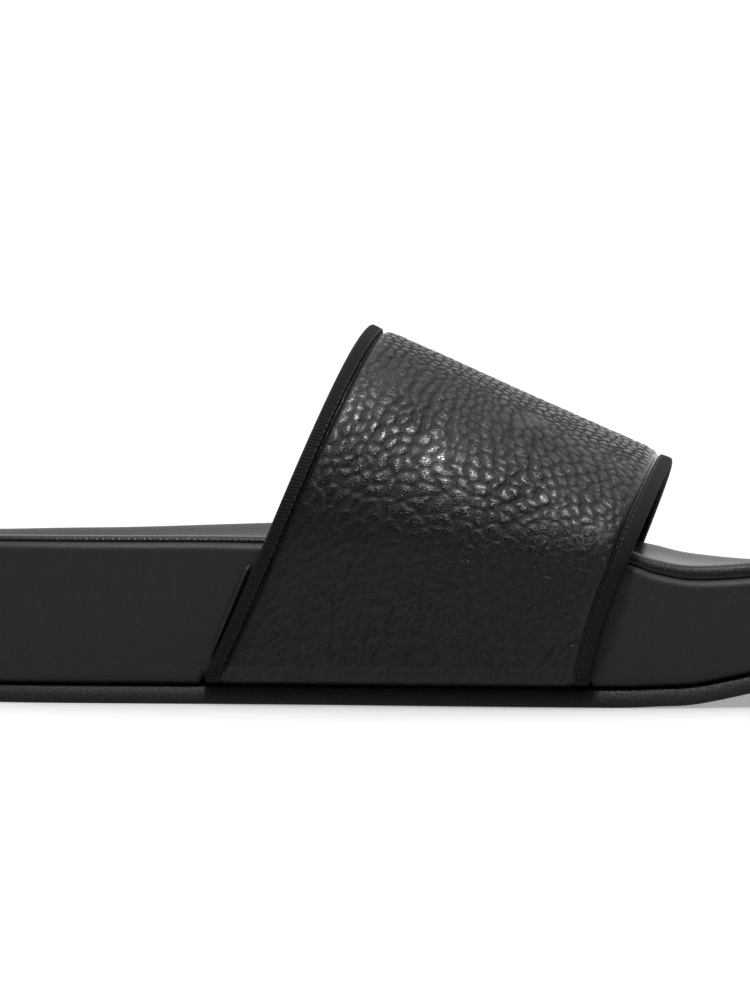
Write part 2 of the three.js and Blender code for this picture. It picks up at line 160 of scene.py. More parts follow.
def close_ends(bm):
    """Joins a bent grid's two long edges and closes both of its ends."""
    bmesh.ops.remove_doubles(bm, verts=bm.verts, dist=0.002 * MM)
    bmesh.ops.holes_fill(bm, edges=[edge for edge in bm.edges if edge.is_boundary], sides=0)


def finished(name, bm, material):
    """A mesh object from a bmesh whose doubles are merged and whose faces are turned outwards."""
    bmesh.ops.remove_doubles(bm, verts=bm.verts, dist=0.002 * MM)
    bmesh.ops.recalc_face_normals(bm, faces=bm.faces)
    for face in bm.faces:
        face.smooth = True
    mesh = bpy.data.meshes.new(name)
    bm.to_mesh(mesh)
    bm.free()
    mesh.materials.append(material)
    piece = bpy.data.objects.new(name, mesh)
    bpy.context.scene.collection.objects.link(piece)
    return piece


def share_of_floor(points, outline):
    """How far the surface has sunk to its floor: 0 at the rolled edge, 1 well inside the wall."""
    distance = np.empty(len(points))
    for start in range(0, len(points), 2000):
        some = points[start : start + 2000, None, :2] - outline[None, :, :]
        distance[start : start + 2000] = np.sqrt((some**2).sum(axis=2)).min(axis=1)
    sunk = np.maximum(distance - FLOOR_STARTS, 0) / FLOOR_REACH
    return 1 - np.exp(-(sunk**1.5))


FLOOR_STARTS = 5.2 * MM
FLOOR_REACH = 8.6 * MM


def sole_body(steps, rings, over=None, under=None, across=(8, 8)):
    """A closed body as wide as the sole. rings gives one side's rings from the underside up. over and
    under name the height that the top and the underside reach in the middle."""
    sides = {side: SoleSide(side, steps) for side in (OUTER, INNER)}
    outer, inner = (np.array(rings(sides[side])) for side in (OUTER, INNER))
    outline = np.concatenate([sides[OUTER].wall, sides[INNER].wall])

    def strips(start, end, first, last, level, count):
        """Points straight across from one side's ring to the other's, sunk to the level's height."""
        share = (1 - np.cos(np.linspace(0, np.pi, count + 2)[1:-1])) / 2
        share = share[:, None, None]
        points = start[None] * (1 - share) + end[None] * share
        if level:
            height = level(sides[first])[None] * (1 - share[..., 0]) + level(sides[last])[None] * share[..., 0]
            sunk = share_of_floor(points.reshape(-1, 3), outline).reshape(points.shape[:2])
            points[..., 2] += (height - points[..., 2]) * sunk
        return points

    top = strips(outer[-1], inner[-1], OUTER, INNER, over, across[0])
    base = strips(inner[0], outer[0], INNER, OUTER, under, across[1])
    return bent_grid(np.concatenate([outer, top, inner[::-1], base, outer[:1]]))


def quarter(steps):
    """Angles over a quarter turn."""
    return np.linspace(0, np.pi / 2, steps + 1)


def outsole_rings(s):
    top = s.lift + OUTSOLE_THICKNESS
    return [
        s.ring(OUTSOLE_SETBACK + OUTSOLE_CHAMFER, s.lift),
        *(
            s.ring(
                OUTSOLE_SETBACK + OUTSOLE_CHAMFER * (1 - math.sin(a)),
                s.lift + OUTSOLE_CHAMFER * (1 - math.cos(a)),
            )
            for a in quarter(4)[1:]
        ),
        s.ring(OUTSOLE_SETBACK, top - OUTSOLE_CHAMFER / 2),
        s.ring(3 * MM, top),
    ]


CHANNEL_DEPTH = 2 * MM
CHANNEL_WIDTH = 3 * MM
CHANNEL_MARGIN = 9 * MM
CHANNEL_ZONES = ((0.07, 0.3, 7), (0.5, 0.93, 13))  # from, to, how many


def channel_cutters():
    """One block for each channel, from wall to wall less the margin."""
    bm = bmesh.new()
    sides = {side: SoleSide(side, 400) for side in (OUTER, INNER)}
    for start, end, count in CHANNEL_ZONES:
        for share in np.linspace(start, end, count):
            x = (share - 0.5) * SOLE_LENGTH
            half = {k: np.interp(x, s.wall[:, 0], np.abs(s.wall[:, 1])) for k, s in sides.items()}
            low = -half[OUTER] + CHANNEL_MARGIN
            high = half[INNER] - CHANNEL_MARGIN
            ground = np.interp(x, sides[OUTER].wall[:, 0], sides[OUTER].lift)
            block = bmesh.ops.create_cube(bm, size=1)["verts"]
            bmesh.ops.scale(bm, verts=block, vec=(CHANNEL_WIDTH, high - low, 4 * CHANNEL_DEPTH))
            middle = Vector((x, (low + high) / 2, ground - CHANNEL_DEPTH))
            bmesh.ops.translate(bm, verts=block, vec=middle)
    return bm


def new_material(name, colour, roughness, **sockets):
    """A material with its Principled shader's plain values set."""
    material = bpy.data.materials.new(name)
    material.use_nodes = True
    shader = material.node_tree.nodes["Principled BSDF"]
    shader.inputs["Base Color"].default_value = (*colour, 1)
    shader.inputs["Roughness"].default_value = roughness
    for socket, value in sockets.items():
        shader.inputs[socket.replace("_", " ")].default_value = value
    return material


def node(tree, kind, links=None, **values):
    """A node with its settings, its plain input values and its links."""
    made = tree.nodes.new(kind)
    for key, value in values.items():
        if hasattr(made, key):
            setattr(made, key, value)
        else:
            made.inputs[key.replace("_", " ")].default_value = value
    for socket, source in (links or {}).items():
        tree.links.new(source, made.inputs[socket])
    return made


def grain_group():
    """Leather grain: small cells with soft cracks between them, over a finer crumple."""
    group = bpy.data.node_groups.new("leather_grain", "ShaderNodeTree")
    group.interface.new_socket("Vector", in_out="INPUT", socket_type="NodeSocketVector")
    group.interface.new_socket("Cells", in_out="INPUT", socket_type="NodeSocketFloat")
    group.interface.new_socket("Crumple", in_out="INPUT", socket_type="NodeSocketFloat")
    group.interface.new_socket("Height", in_out="OUTPUT", socket_type="NodeSocketFloat")
    group.interface.new_socket("Tone", in_out="OUTPUT", socket_type="NodeSocketFloat")
    ins = group.nodes.new("NodeGroupInput").outputs
    outs = group.nodes.new("NodeGroupOutput").inputs
    warp = node(group, "ShaderNodeTexNoise", {"Vector": ins["Vector"], "Scale": ins["Cells"]}, Detail=2)
    spread = node(group, "ShaderNodeVectorMath", {0: warp.outputs["Color"]}, operation="SCALE", Scale=0.0006)
    moved = node(group, "ShaderNodeVectorMath", {0: ins["Vector"], 1: spread.outputs[0]}, operation="ADD")
    cell_links = {"Vector": moved.outputs[0], "Scale": ins["Cells"]}
    cells = node(group, "ShaderNodeTexVoronoi", cell_links, feature="DISTANCE_TO_EDGE")
    round_off = node(
        group, "ShaderNodeMapRange", {"Value": cells.outputs["Distance"]}, interpolation_type="SMOOTHSTEP"
    )
    round_off.inputs["From Max"].default_value = 0.22
    fine_scale = node(group, "ShaderNodeMath", {0: ins["Cells"]}, operation="MULTIPLY")
    fine_scale.inputs[1].default_value = 3.4
    fine = node(
        group, "ShaderNodeTexNoise", {"Vector": ins["Vector"], "Scale": fine_scale.outputs[0]}, Detail=3
    )
    crumple = node(group, "ShaderNodeMath", {0: fine.outputs["Fac"], 1: ins["Crumple"]}, operation="MULTIPLY")
    height = node(group, "ShaderNodeMath", {0: round_off.outputs[0], 1: crumple.outputs[0]}, operation="ADD")
    group.links.new(height.outputs[0], outs["Height"])
    group.links.new(round_off.outputs[0], outs["Tone"])
    return group


LEATHER_GRAIN = grain_group()


def add_grain(material, vector, cells, crumple, depth, dark, light, rough):
    """Lays grain on a material: its bump, and its colour and gloss between two values each."""
    tree = material.node_tree
    shader = tree.nodes["Principled BSDF"]
    grain = tree.nodes.new("ShaderNodeGroup")
    grain.node_tree = LEATHER_GRAIN
    grain.inputs["Cells"].default_value = cells
    grain.inputs["Crumple"].default_value = crumple
    tree.links.new(vector, grain.inputs["Vector"])
    bump = node(tree, "ShaderNodeBump", {"Height": grain.outputs["Height"]}, Strength=1, Distance=depth)
    tree.links.new(bump.outputs[0], shader.inputs["Normal"])
    colour = node(tree, "ShaderNodeMix", data_type="RGBA")
    tree.links.new(grain.outputs["Tone"], colour.inputs["Factor"])
    colour.inputs["A"].default_value = (*dark, 1)
    colour.inputs["B"].default_value = (*light, 1)
    tree.links.new(colour.outputs["Result"], shader.inputs["Base Color"])
    gloss = node(tree, "ShaderNodeMapRange", {"Value": grain.outputs["Tone"]})
    gloss.inputs["To Min"].default_value = rough[0]
    gloss.inputs["To Max"].default_value = rough[1]
    tree.links.new(gloss.outputs[0], shader.inputs["Roughness"])
    return bump


def grey(value, warmth=0.2):
    """A linear grey with a little red in it, as black dyes have."""
    return (value * (1 + warmth), value, value * (1 + warmth / 5))


def object_vector(material):
    return material.node_tree.nodes.new("ShaderNodeTexCoord").outputs["Object"]


rubber = new_material("rubber", grey(0.008), 0.62, Specular_IOR_Level=0.3)
add_grain(rubber, object_vector(rubber), 900, 0.6, 0.05 * MM, grey(0.006), grey(0.009), (0.7, 0.58))
outsole = finished("outsole_rubber", sole_body(216, outsole_rings), rubber)
cutters = finished("channel_cutters", channel_cutters(), rubber)
cut = outsole.modifiers.new("channels", "BOOLEAN")
cut.operation = "DIFFERENCE"
cut.solver = "EXACT"
cut.object = cutters


def apply_modifiers(piece):
    """Takes the piece's mesh as its modifiers leave it."""
    graph = bpy.context.evaluated_depsgraph_get()
    mesh = bpy.data.meshes.new_from_object(piece.evaluated_get(graph))
    piece.modifiers.clear()
    piece.data = mesh


apply_modifiers(outsole)
bpy.data.objects.remove(cutters)
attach(outsole, "root")
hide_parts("outsole")

# Midsole: a thick block of foam wrapped in smooth leather, cemented to the outsole. Its top is hollowed
# to seat the footbed, and its bottom edge is notched on each side for the strap's ends.
WALL_BOTTOM_RADIUS = 3 * MM
WALL_TOP_RADIUS = 2.6 * MM
WALL_TAPER = 0.4 * MM
FOOTBED_THICKNESS = 5 * MM
FOOTBED_INSET = 2.8 * MM
FOOTBED_ROLL = 2.4 * MM


NOTCH_DEPTH = 1.9 * MM
NOTCHES = {OUTER: (-62.5 * MM, 41 * MM), INNER: (-58.5 * MM, 46.5 * MM)}  # from and to, along the sole


def smoothstep(value, low, high):
    t = np.clip((value - low) / (high - low), 0, 1)
    return t * t * (3 - 2 * t)


def midsole_rings(s):
    r = WALL_BOTTOM_RADIUS
    t = WALL_TOP_RADIUS
    x = s.wall[:, 0]
    start, end = NOTCHES[s.side]
    base = s.seam + NOTCH_DEPTH * smoothstep(x, start, start + 1 * MM) * smoothstep(-x, -end, 1 * MM - end)
    low = [s.ring(r * (1 - math.sin(a)), base + r * (1 - math.cos(a))) for a in quarter(6)]
    shares = np.linspace(0, 1, 9)[1:-1]
    wall = [s.ring(WALL_TAPER * k, (base + r) * (1 - k) + (s.edge - t) * k) for k in shares]
    high = [s.ring(WALL_TAPER + t * (1 - math.cos(a)), s.edge - t * (1 - math.sin(a))) for a in quarter(8)]
    return [*low, *wall, *high, s.ring(FOOTBED_INSET + FOOTBED_ROLL, s.edge - GAP)]


wrap = new_material("wrap_leather", grey(0.011), 0.5, Specular_IOR_Level=0.25)
add_grain(wrap, object_vector(wrap), 1100, 0.5, 0.03 * MM, grey(0.009), grey(0.0122), (0.54, 0.45))
midsole = finished(
    "midsole_wrap",
    sole_body(300, midsole_rings, over=lambda s: s.floor - FOOTBED_THICKNESS - 1.5 * GAP, across=(24, 8)),
    wrap,
)
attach(midsole, "root")
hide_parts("midsole")

# Footbed: a padded insole covered in smooth leather, its edge rolled over and its cover drawn down
# round the side in fine gathers. It is cemented into the midsole's hollow.
SIDE_PROFILE = (
    # inset, share of the way up from the midsole's edge to the rolled edge
    (5.2 * MM, 0.0),
    (3.0 * MM, 0.01),
    (2.6 * MM, 0.2),
    (2.85 * MM, 0.55),
    (3.7 * MM, 0.88),
    (5.2 * MM, 1.0),
)
SIDE_STEPS = 5
GATHER_PITCH = 1.5 * MM
GATHER_SLANT = 1.8 * MM
GATHER_DEPTH = 0.1 * MM


def open_curve(points, steps):
    """A smooth open curve through points."""
    points = np.array(points)
    ends = np.concatenate([[2 * points[0] - points[1]], points, [2 * points[-1] - points[-2]]])
    shares = np.linspace(0, len(points) - 1, steps * (len(points) - 1) + 1)
    post = np.minimum(shares.astype(int), len(points) - 2)
    t = (shares - post)[:, None]
    before, start, end, after = (ends[post + k] for k in range(4))
    leave = (end - before) / 2
    arrive = (after - start) / 2
    bend = 3 * (end - start) - 2 * leave - arrive
    return start + leave * t + bend * t**2 + (leave + arrive - 2 * (end - start)) * t**3


def footbed_rings(s):
    rings = []
    wander = np.sin(s.along / (17 * MM)) + np.sin(s.along / (7.3 * MM) + 1)
    for inset, share in open_curve(SIDE_PROFILE, SIDE_STEPS):
        share = min(max(share, 0), 1)
        height = (s.edge + 0.05 * MM) * (1 - share) + s.roll * share
        # the gathers slant back from the seam and die out on the rolled edge
        turns = (s.along + GATHER_SLANT * share) / GATHER_PITCH + 0.35 * wander
        fold = np.sin(2 * np.pi * turns) + 0.5 * np.sin(2 * np.pi * (0.62 * turns + 0.2 * wander))
        deep = GATHER_DEPTH * (1 - smoothstep(share, 0.35, 0.8)) * (0.7 + 0.3 * np.sin(s.along / (11 * MM)))
        rings.append(s.ring(inset + deep * fold, height))
    return rings


insole = new_material("insole_leather", grey(0.009), 0.4, Specular_IOR_Level=0.22)
add_grain(insole, object_vector(insole), 1300, 0.5, 0.02 * MM, grey(0.0065), grey(0.009), (0.4, 0.3))
footbed = finished(
    "footbed_cover",
    sole_body(
        900,
        footbed_rings,
        over=lambda s: s.floor,
        under=lambda s: s.floor - FOOTBED_THICKNESS,
        across=(30, 4),
    ),
    insole,
)
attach(footbed, "root")
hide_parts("footbed")

# Strap: the whole upper, one wide band of tumbled leather over thin padding, lasted round the foot and
# turned under the midsole on both sides. Its grain is drawn out along the band and creased where it bends.
STRAP_THICKNESS = 3.4 * MM
STRAP_SKIVED = 1.6 * MM
SKIVE_RAMP = 1.2 * MM
STRAP_CROWN = 0.5 * MM
PADDING_REACH = 5 * MM
STRAP_MARGIN = 12 * MM
STRAP_BULGE = 2.4 * MM
ARCH_HANDLE = 0.56
RIDGE_OFFSET = 6 * MM
RIDGE_BOW = -0.1 * MM
STRAP_SKEW = 0.04
TAPE_THICKNESS = 0.7 * MM
TAPE_WIDTH = 3 * MM
TAPE_HALF = STRAP_SKIVED / 2 + GAP + TAPE_THICKNESS
STAND_OFF = TAPE_HALF + GAP
REAR_EDGE = {"at": 0.4355, "ridge": 98.2 * MM, "lean": 0.405, "scoop": 0.6 * MM, "kick": 2.4 * MM, "reach": 0}
FRONT_EDGE = {"at": 0.7125, "ridge": 62.2 * MM, "lean": 0.42, "scoop": 0, "kick": -5.7 * MM, "reach": 0.022}
SCOOP_FALL = 4 * MM
WALLS = {side: SoleSide(side, 800) for side in (OUTER, INNER)}


def wall_at(side, x, value):
    """A value of the sole's wall on one side at a place along the foot."""
    wall = WALLS[side]
    values = {"half": np.abs(wall.wall[:, 1]), "edge": wall.edge, "seam": wall.seam}[value]
    return np.interp(x, wall.wall[:, 0], values)


def strap_middle(part, share, side, across):
    """The middle of the strap's wall: across is an array from 0 at its rear edge to 1 at its front."""
    blend = {key: REAR_EDGE[key] * (1 - across) + FRONT_EDGE[key] * across for key in REAR_EDGE}
    ridge_x = (blend["at"] - 0.5) * SOLE_LENGTH
    ridge_z = blend["ridge"] + RIDGE_BOW * 4 * across * (1 - across)

    def x_at(y, z):
        fall = ridge_z - z
        scooped = blend["scoop"] * (1 - np.exp(-fall / SCOOP_FALL))
        kicked = blend["kick"] * (fall / ridge_z) ** 4
        skewed = STRAP_SKEW * (y - RIDGE_OFFSET) + blend["reach"] * np.maximum(y - RIDGE_OFFSET, 0)
        return ridge_x - fall * blend["lean"] - scooped - kicked + skewed

    def wall(z, value):
        return wall_at(side, x_at(side * BALL_WIDTH / 2, z), value)

    r = WALL_BOTTOM_RADIUS
    seam = wall(OUTSOLE_THICKNESS, "seam")
    under = seam + STRAP_SKIVED / 2
    centre_y = wall(OUTSOLE_THICKNESS, "half") - r
    centre_z = seam + STRAP_SKIVED + GAP + r
    wall_top = wall(HEEL_HEIGHT, "edge") - WALL_TOP_RADIUS
    if part == "margin":
        y = side * (centre_y - STRAP_MARGIN * (1 - share))
        z = under
    elif part == "corner":
        turn = share * np.pi / 2
        y = side * (centre_y + (r + STAND_OFF) * np.sin(turn))
        z = centre_z - (centre_z - under) * np.cos(turn)
    elif part == "wall":
        z = centre_z * (1 - share) + wall_top * share
        y = side * (wall(z, "half") + STAND_OFF)
    else:
        start = side * (wall(wall_top, "half") + STAND_OFF)
        posts = (
            (start, wall_top),
            (start + side * STRAP_BULGE, wall_top * (1 - ARCH_HANDLE) + ridge_z * ARCH_HANDLE),
            (RIDGE_OFFSET * (1 - ARCH_HANDLE) + start * ARCH_HANDLE, ridge_z),
            (RIDGE_OFFSET, ridge_z),
        )
        weights = ((1 - share) ** 3, 3 * share * (1 - share) ** 2, 3 * share**2 * (1 - share), share**3)
        y = sum(w * p[0] for w, p in zip(weights, posts))
        z = sum(w * p[1] for w, p in zip(weights, posts))
    return np.stack(np.broadcast_arrays(x_at(y, z), y, z), axis=-1)


def strap_stations(steps, coarser=1):
    """Even steps from the end turned under on the outer side, over the ridge, to the inner end. steps
    gives each part's step, which is coarser on the inner side by a factor."""
    half_way = np.array([0.5])
    stations = []
    for side in (OUTER, INNER):
        rows = []
        for part, step in steps.items():
            shares = np.linspace(0, 1, 301)
            path = np.array([strap_middle(part, t, side, half_way)[0] for t in shares])
            length = np.concatenate([[0], np.cumsum(np.linalg.norm(np.diff(path, axis=0), axis=1))])
            if side == INNER:
                step = step * coarser
            count = max(2, round(length[-1] / step))
            even = np.interp(np.arange(count) * length[-1] / count, length, shares)
            rows += [(part, t, side) for t in even]
        stations.append(rows)
    return [*stations[0], ("arch", 1.0, OUTER), *reversed(stations[1])]


def unit(vectors):
    return vectors / np.linalg.norm(vectors, axis=-1, keepdims=True)


class Band:
    """The strap's middle surface at a set of stations. along is the distance from the ridge, negative on
    the outer side, and back is the distance from the rear edge."""

    def __init__(self, stations):
        self.stations = stations
        ends = self.middle(np.tile([0.0, 1.0], (len(stations), 1)))
        self.width = np.linalg.norm(ends[:, 1] - ends[:, 0], axis=1)[:, None]
        centre = self.middle(np.full((len(stations), 1), 0.5))[:, 0]
        steps = np.linalg.norm(np.diff(centre, axis=0), axis=1)
        self.along = np.concatenate([[0], np.cumsum(steps)])[:, None]
        self.along = self.along - self.along[stations.index(("arch", 1.0, OUTER))]
        # 0 on the part turned under, 1 from the wall up, with a rise round the corner
        rise = {"margin": (0, 0), "corner": (0, 1), "wall": (1, 0), "arch": (1, 0)}
        self.full = np.array([[rise[part][0] + rise[part][1] * t] for part, t, side in stations])

    def middle(self, across):
        return np.array([strap_middle(*s, row) for s, row in zip(self.stations, across)])

    def point(self, back, out):
        """Points at arrays of distances from the rear edge and outwards from the middle."""
        across = np.clip(back / self.width, 0, 1)
        centre = self.middle(across)
        behind = self.middle(np.clip(across - 0.01, 0, 1))
        ahead = self.middle(np.clip(across + 0.01, 0, 1))
        forwards = unit(ahead - behind)
        inwards = unit(np.cross(np.gradient(centre, axis=0), forwards))
        return centre + forwards * (back - across * self.width)[..., None] - inwards * out[..., None]

    def place(self, back, depth):
        """Where points lie on the band: along it, back from its rear edge, and how deep in its grain."""
        return np.stack(np.broadcast_arrays(self.along, back, depth), axis=-1)


def strap_faces(band, back):
    """Distances from the middle of the strap to its outer and inner faces."""
    inside = np.minimum(back, band.width - back) - TAPE_WIDTH - GAP
    swell = band.full * smoothstep(inside, 0, SKIVE_RAMP)
    half = (STRAP_SKIVED + (STRAP_THICKNESS - STRAP_SKIVED) * swell) / 2
    return half + swell * STRAP_CROWN * smoothstep(inside, 0, PADDING_REACH), -half


# The main creases, in millimetres on the band: where each starts and ends, as distance below the ridge
# and from the rear edge, how far it bows forwards, its width and its depth
CREASES = (
    # start, end, bow, width, depth
    ((18, 23.5), (49, 19.3), 0.6, 0.72, 0.12),
    ((20, 19.6), (51, 15.8), 0.5, 0.64, 0.17),
    ((32, 30.4), (59, 37.8), -0.6, 0.72, 0.22),
    ((28, 34.4), (50, 40.0), 0.8, 0.64, 0.17),
    ((29, 45.6), (51, 50.9), -0.6, 0.72, 0.19),
    ((25, 24.5), (60, 27.9), -0.7, 0.72, 0.19),
    ((36, 34.9), (58, 39.3), 0.8, 0.56, 0.17),
    ((32, 42.2), (49, 44.9), 0.6, 0.56, 0.14),
    ((29, 53.5), (56, 58.6), -1.2, 0.72, 0.22),
    ((56, 58.6), (65, 56.8), 0.5, 0.72, 0.19),
    ((57, 71.0), (74, 55.8), -0.6, 0.88, 0.28),
    ((54, 66.0), (69, 50.5), -0.4, 0.72, 0.19),
    ((52, 56.4), (68, 47.9), -0.4, 0.72, 0.22),
    ((15, 77.4), (46, 72.5), -1.0, 0.72, 0.12),
    ((9, 80.7), (38, 75.7), 0.4, 0.64, 0.1),
    ((51, 65.3), (60, 70.8), 0.3, 0.64, 0.19),
    ((51, 69.3), (62, 76.5), -0.3, 0.64, 0.19),
    ((46, 73.0), (59, 78.7), -0.8, 0.64, 0.19),
    ((48, 61.2), (61, 61.4), 0.3, 0.64, 0.17),
    ((51, 6.4), (61, 7.5), 0.2, 0.64, 0.14),
    ((43, 10.3), (58, 11.4), 0.2, 0.64, 0.17),
    ((42, 15.8), (60, 17.0), -0.4, 0.64, 0.17),
    ((52, 22.8), (64, 23.1), -0.3, 0.64, 0.17),
    ((50, 27.7), (65, 28.6), 0.3, 0.64, 0.17),
    ((4, 14.2), (32, 9.8), 0.6, 0.64, 0.1),
    ((0, 19.6), (33, 15.7), 0.5, 0.56, 0.08),
    ((3, 28.9), (34, 25.1), 0.6, 0.56, 0.1),
    ((3, 39.1), (32, 34.4), 0.4, 0.56, 0.08),
    ((3, 49.4), (33, 45.2), 0.6, 0.56, 0.1),
    ((8, 61.6), (35, 58.5), 0.3, 0.56, 0.08),
    ((10, 70.9), (35, 67.3), 0.5, 0.56, 0.08),
    ((74, 13.3), (82, 14.1), 0.6, 0.4, 0.11),
    ((96, 16.0), (101, 18.3), 0.1, 0.4, 0.26),
    ((90, 22.1), (110, 30.1), 0.2, 0.4, 0.37),
    ((97, 28.8), (112, 34.7), 0.1, 0.4, 0.26),
    ((95, 31.8), (107, 33.2), 0.3, 0.4, 0.34),
    ((99, 35.8), (111, 39.0), -0.4, 0.4, 0.41),
    ((93, 39.1), (104, 41.6), 0.2, 0.4, 0.34),
    ((103, 40.4), (111, 41.3), 0.1, 0.4, 0.34),
    ((100, 47.7), (112, 50.2), 0.3, 0.4, 0.34),
    ((83, 43.9), (98, 48.5), -0.8, 0.4, 0.31),
    ((101, 53.1), (110, 58.7), 0.1, 0.4, 0.26),
    ((104, 65.4), (112, 71.1), -0.5, 0.4, 0.31),
    ((105, 68.8), (112, 74.4), 0.2, 0.4, 0.31),
    ((103, 86.8), (111, 85.3), 0.2, 0.4, 0.37),
    ((101, 92.3), (107, 88.6), 0.2, 0.4, 0.31),
)
INNER_SIDE_SHIFT = 4.5 * MM  # the same creases fall a little further forward on the inner side


def crease_depth(along, back):
    """How deep the creases cut at each place, with the soft ridge that stands on both sides of each."""
    depth = np.zeros(along.shape)
    shares = np.linspace(0, 1, 13)[:, None]
    for number, (start, end, bow, width, deep) in enumerate(CREASES):
        start = np.array(start) * MM
        end = np.array(end) * MM
        path = start + (end - start) * shares
        path[:, 1:] += 4 * bow * MM * shares * (1 - shares)
        fade = np.sin(np.pi * np.clip(shares[:, 0], 0.03, 0.97)) ** 0.6
        for side, every in ((OUTER, 1), (INNER, 2)):
            if number % every:
                continue
            s = -along if side == OUTER else along
            b = back if side == OUTER else back - INNER_SIDE_SHIFT
            low = path.min(axis=0) - 4 * MM
            high = path.max(axis=0) + 4 * MM
            near = (s > low[0]) & (s < high[0]) & (b > low[1]) & (b < high[1])
            places = np.stack([s[near], b[near]], axis=1)
            leg = path[1:] - path[:-1]
            off = places[:, None] - path[None, :-1]
            t = np.clip((off * leg).sum(axis=2) / (leg**2).sum(axis=1), 0, 1)
            apart = np.linalg.norm(off - t[..., None] * leg, axis=2)
            nearest = apart.argmin(axis=1)
            rows = np.arange(len(nearest))
            distance = apart[rows, nearest] / (width * MM)
            strength = deep * MM * np.interp(nearest + t[rows, nearest], np.arange(13), fade)
            depth[near] += strength * (np.exp(-(distance**2)) - 0.15 * np.exp(-((distance - 1.9) ** 2)))
    return depth


def drift(along, back, size, seed):
    """Slow variation over the band, from -1 to 1, on patches of about one size."""
    posts = np.random.default_rng(seed).uniform(-1, 1, (64, 64))
    row, column = (np.floor(values / size).astype(int) for values in (along, back))
    down, across = (smoothstep(values / size - np.floor(values / size), 0, 1) for values in (along, back))
    above, beneath = (
        posts[k % 64, column % 64] * (1 - across) + posts[k % 64, (column + 1) % 64] * across
        for k in (row, row + 1)
    )
    return above * (1 - down) + beneath * down


CRACK_REACH = 0.4  # from a crack to the cell's full height, in cells
CRACK_WIDTH = 0.17


def grain_cells(row, column, jitters, seed):
    """Cells of drawn grain, at places counted in cells along the band and across it. Gives the depth,
    from 0 to 1, of the cracks between cells side by side and of those between cells end to end, and each
    place's distance from its cell's middle."""
    low = [int(np.floor(values.min())) - 4 for values in (row, column)]
    size = [int(np.ceil(values.max())) + 5 - start for values, start in zip((row, column), low)]
    shifts = np.random.default_rng(seed).uniform(-1, 1, (*size, 2)) * jitters + 0.5
    home = [np.floor(values).astype(int) for values in (row, column)]
    around = [(i, j) for i in range(-2, 3) for j in range(-2, 3)]

    def way_to(i, j):
        """The way from each place to the middle of the cell i rows and j columns on."""
        cell = home[0] + i, home[1] + j
        shift = shifts[cell[0] - low[0], cell[1] - low[1]]
        return cell[0] + shift[..., 0] + 0.5 * (cell[1] % 2) - row, cell[1] + shift[..., 1] - column

    middle = np.full((3, *row.shape), np.inf)
    for i, j in around:
        way = way_to(i, j)
        found = np.stack([np.hypot(*way), *way])
        middle = np.where(found[0] < middle[0], found, middle)
    side_by_side = np.zeros(row.shape)
    end_to_end = np.zeros(row.shape)
    for i, j in around:
        way = way_to(i, j)
        step = way[0] - middle[1], way[1] - middle[2]
        apart = np.hypot(*step)
        from_crack = (np.hypot(*way) ** 2 - middle[0] ** 2) / (2 * np.maximum(apart, 1e-3))
        slope = np.clip(1 - from_crack / CRACK_REACH, 0, 1) ** 2
        crack = np.where(apart > 0.01, 0.6 * slope + 0.4 * np.clip(1 - from_crack / CRACK_WIDTH, 0, 1) ** 2, 0)
        sideways = (step[1] / np.maximum(apart, 1e-3)) ** 2
        side_by_side = np.maximum(side_by_side, crack * sideways)
        end_to_end = np.maximum(end_to_end, crack * (1 - sideways))
    return side_by_side, end_to_end, middle[0]


STRAP_STEPS = {"margin": 3 * MM, "corner": 0.8 * MM, "wall": 0.4 * MM, "arch": 0.36 * MM}
OUTSIDE_ROWS = 190
INSIDE_ROWS = 10
LINING_THICKNESS = 0.5 * MM
LOBE_LENGTH = 4.0 * MM
LOBE_WIDTH = 3.2 * MM
LOBE_DEPTH = 0.52 * MM
LOBES_LEAN = 0.5  # forwards, towards the front of the strap
SCALE_LENGTH = 3.4 * MM
SCALE_WIDTH = 2.4 * MM
SCALE_DEPTH = 0.42 * MM
PIT_LENGTH = 3.6 * MM
PIT_WIDTH = 2.1 * MM
PIT_DEPTH = 0.36 * MM
SMOOTH_PLACES = (((34, 12), 5), ((70, 82), 7), ((28, 52), 4))  # below the ridge, from the rear; size

band = Band(strap_stations(STRAP_STEPS, coarser=1.6))
outside = band.width * np.linspace(0, 1, OUTSIDE_ROWS)[None]
inside = band.width * np.linspace(1, 0, INSIDE_ROWS)[None]
along = np.broadcast_to(band.along, outside.shape)
below = np.abs(along)
patches = drift(along, outside, 11 * MM, 17)
# the strap bends lower down at its front edge than at its rear edge
bent = (below - 15 * MM * outside / band.width) / MM
wander = 0.9 * MM * drift(along, outside, 8 * MM, 3)
lean = LOBES_LEAN * smoothstep(outside, 18 * MM, 60 * MM) * (below - 45 * MM)
stray = 0.5 * MM * drift(along, outside, 2.6 * MM, 41)
lobes = grain_cells((along + stray) / LOBE_LENGTH, (outside - lean + wander + stray) / LOBE_WIDTH, (0.42, 0.24), 5)
scales = grain_cells((along + stray) / SCALE_LENGTH, (outside + wander) / SCALE_WIDTH, (0.36, 0.3), 11)
pits = grain_cells((along + wander) / PIT_LENGTH, outside / PIT_WIDTH, (0.45, 0.45), 23)
from_edge = np.minimum(outside, band.width - outside)
free = smoothstep(from_edge, 3.4 * MM, 6.5 * MM) * band.full
for (down, across), size in SMOOTH_PLACES:
    free = free * (1 - 0.85 * np.exp(-((below / MM - down) ** 2 + (outside / MM - across) ** 2) / size**2))
drawn = smoothstep(bent, 6, 24) * (1 - 0.85 * smoothstep(bent, 42, 98)) * (0.9 + 0.4 * patches)
notched = smoothstep(bent, 16, 34) * (1 - 0.9 * smoothstep(bent, 42, 90)) * (0.9 + 0.5 * patches)
scaled = 1 - smoothstep(bent, 10, 28)
